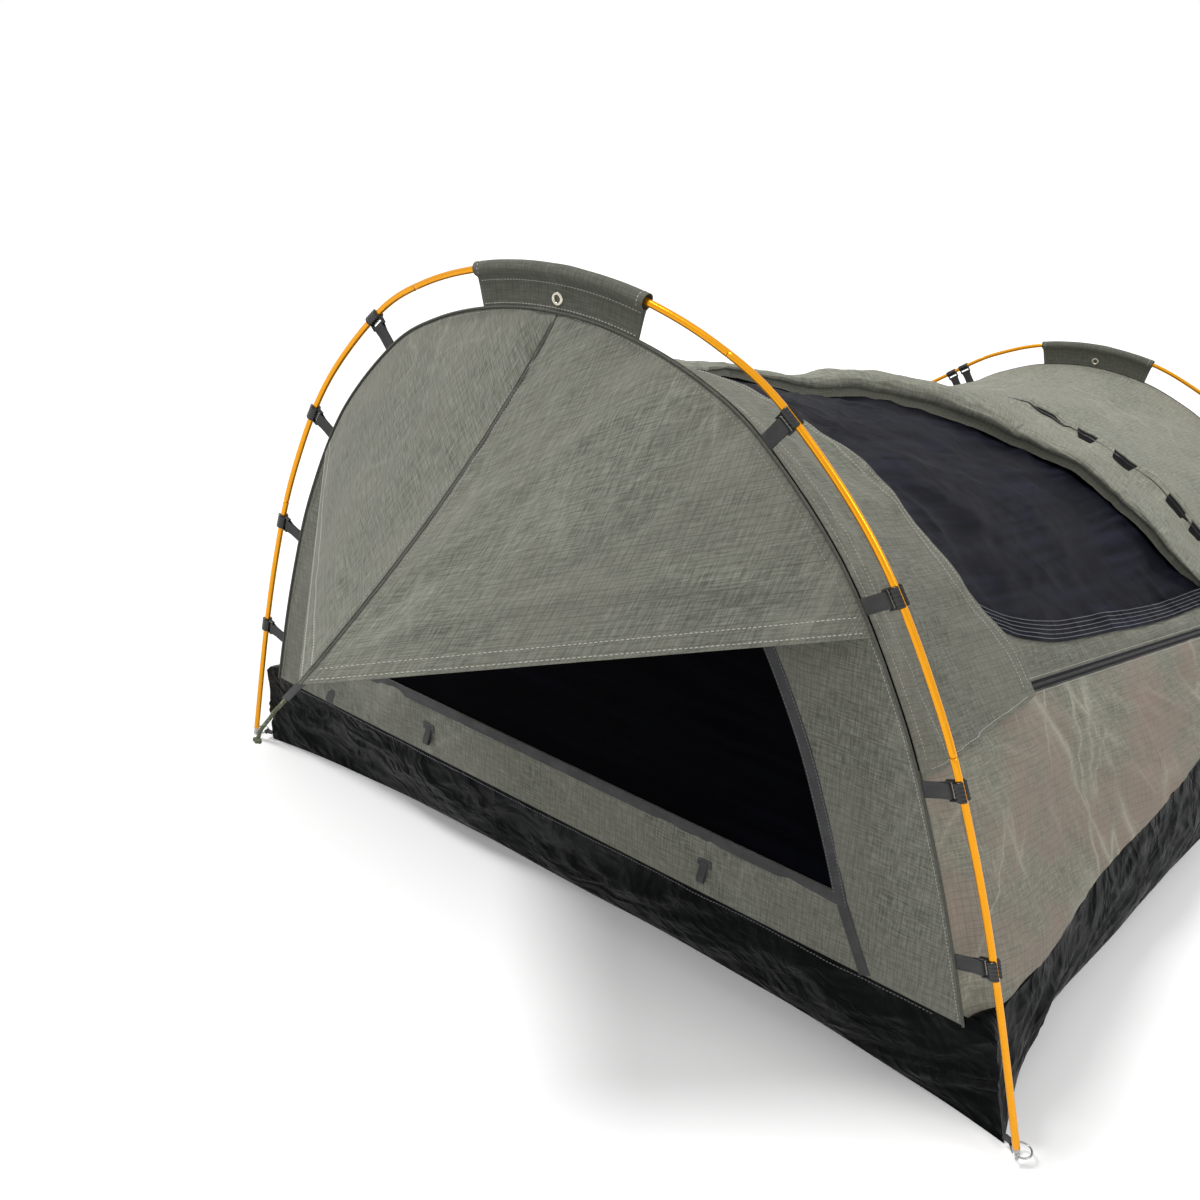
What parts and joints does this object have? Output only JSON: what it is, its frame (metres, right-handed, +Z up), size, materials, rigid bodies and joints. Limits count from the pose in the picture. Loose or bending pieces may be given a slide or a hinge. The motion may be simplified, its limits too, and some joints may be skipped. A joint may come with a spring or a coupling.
{
  "type": "swag bedroll",
  "caption": "Canvas swag bedroll: black tub floor with mattress, sloping canopy on alloy hoops, side door rolled back over insect mesh, mesh head window and small awning.",
  "frame": {"origin": "on the ground at the middle of the floor, half way between the two hoops", "axes": "+X to the door side, +Y from the head end to the foot end, +Z up"},
  "size_m": [1.5276, 2.5725, 0.9855],
  "materials": {
    "canvas": "grey-green ripstop canvas, matte",
    "wall_canvas": "creased grey-brown ripstop canvas, matte",
    "pvc": "black coated sheet, crumpled and glossy",
    "mesh": "blue-black insect mesh",
    "webbing": "dark grey woven tape",
    "clip_plastic": "black ribbed moulding",
    "pole_alloy": "orange-gold anodised, satin",
    "nickel": "polished nickel plate",
    "steel": "plain steel, satin",
    "foam_cover": "dark grey knitted cover",
    "cord": "olive braided cord",
    "zip": "black coil zip on woven tape"
  },
  "bodies": {
    "base": {"floor_tub": "pvc", "mattress": "foam_cover", "side_wall_left": "wall_canvas", "side_wall_right": "wall_canvas", "head_band": "canvas", "roof_left": "canvas", "roof_rear": "canvas", "door_sill_strip": "canvas", "door_flap": "canvas", "door_mesh": "mesh", "door_mesh_hem": "mesh", "door_zip_tape": "zip", "flap_zip_tape": "zip", "corner_ring_head_left": "steel", "corner_ring_head_right": "steel", "corner_ring_foot_left": "steel", "corner_ring_foot_right": "steel", "corner_loop_head_left": "webbing", "corner_loop_head_right": "webbing", "corner_loop_foot_left": "webbing", "corner_loop_foot_right": "webbing"},
    "head_hoop": {"head_wall": "canvas", "window_mesh": "mesh", "window_tape": "webbing", "sill_loop_left": "webbing", "sill_loop_right": "webbing", "awning_left": "canvas", "awning_right": "canvas", "awning_webbing": "webbing", "awning_cord": "cord", "head_sleeve": "canvas", "head_eyelet": "nickel", "head_pole_1": "pole_alloy", "head_pole_2": "pole_alloy", "head_pole_3": "pole_alloy", "head_pole_4": "pole_alloy", "head_pole_5": "pole_alloy", "head_pin_left": "steel", "head_pin_right": "steel", "head_clip_left_1": "clip_plastic", "head_clip_left_2": "clip_plastic", "head_clip_left_3": "clip_plastic", "head_clip_left_4": "clip_plastic", "head_clip_right_1": "clip_plastic", "head_clip_right_2": "clip_plastic", "head_clip_right_3": "clip_plastic", "head_clip_right_4": "clip_plastic"},
    "foot_hoop": {"foot_wall": "canvas", "foot_sleeve": "canvas", "foot_eyelet": "nickel", "foot_pole_1": "pole_alloy", "foot_pole_2": "pole_alloy", "foot_pole_3": "pole_alloy", "foot_pin_left": "steel", "foot_pin_right": "steel", "foot_clip_left_1": "clip_plastic", "foot_clip_left_2": "clip_plastic", "foot_clip_right_1": "clip_plastic", "foot_clip_right_2": "clip_plastic"},
    "zip_slider": {"door_zip_slider": "steel"}
  },
  "joints": [
    {"name": "head_hoop_fold", "type": "hinge", "parent": "base", "child": "head_hoop", "pos_m": [0, -1.03, 0.014], "axis": [-1, 0, 0], "range_deg": [0, 60], "deforming": ["side_wall_left", "side_wall_right", "head_band", "roof_left", "roof_rear", "door_mesh", "door_mesh_hem", "door_sill_strip", "door_zip_tape", "door_flap", "flap_zip_tape", "floor_tub"]},
    {"name": "foot_hoop_fold", "type": "hinge", "parent": "base", "child": "foot_hoop", "pos_m": [0, 1.03, 0.014], "axis": [1, 0, 0], "range_deg": [0, 45], "deforming": ["side_wall_left", "side_wall_right", "head_band", "roof_left", "roof_rear", "door_mesh", "door_mesh_hem", "door_sill_strip", "door_zip_tape", "door_flap", "flap_zip_tape", "floor_tub"]},
    {"name": "door_zip_slide", "type": "slide", "parent": "base", "child": "zip_slider", "axis": [-0.0713, -0.9714, 0.2266], "range_m": [0, 0.7]}
  ],
  "couplings": [
    {"joint": "foot_hoop_fold", "follows": "head_hoop_fold", "ratio": 0.75}
  ]
}
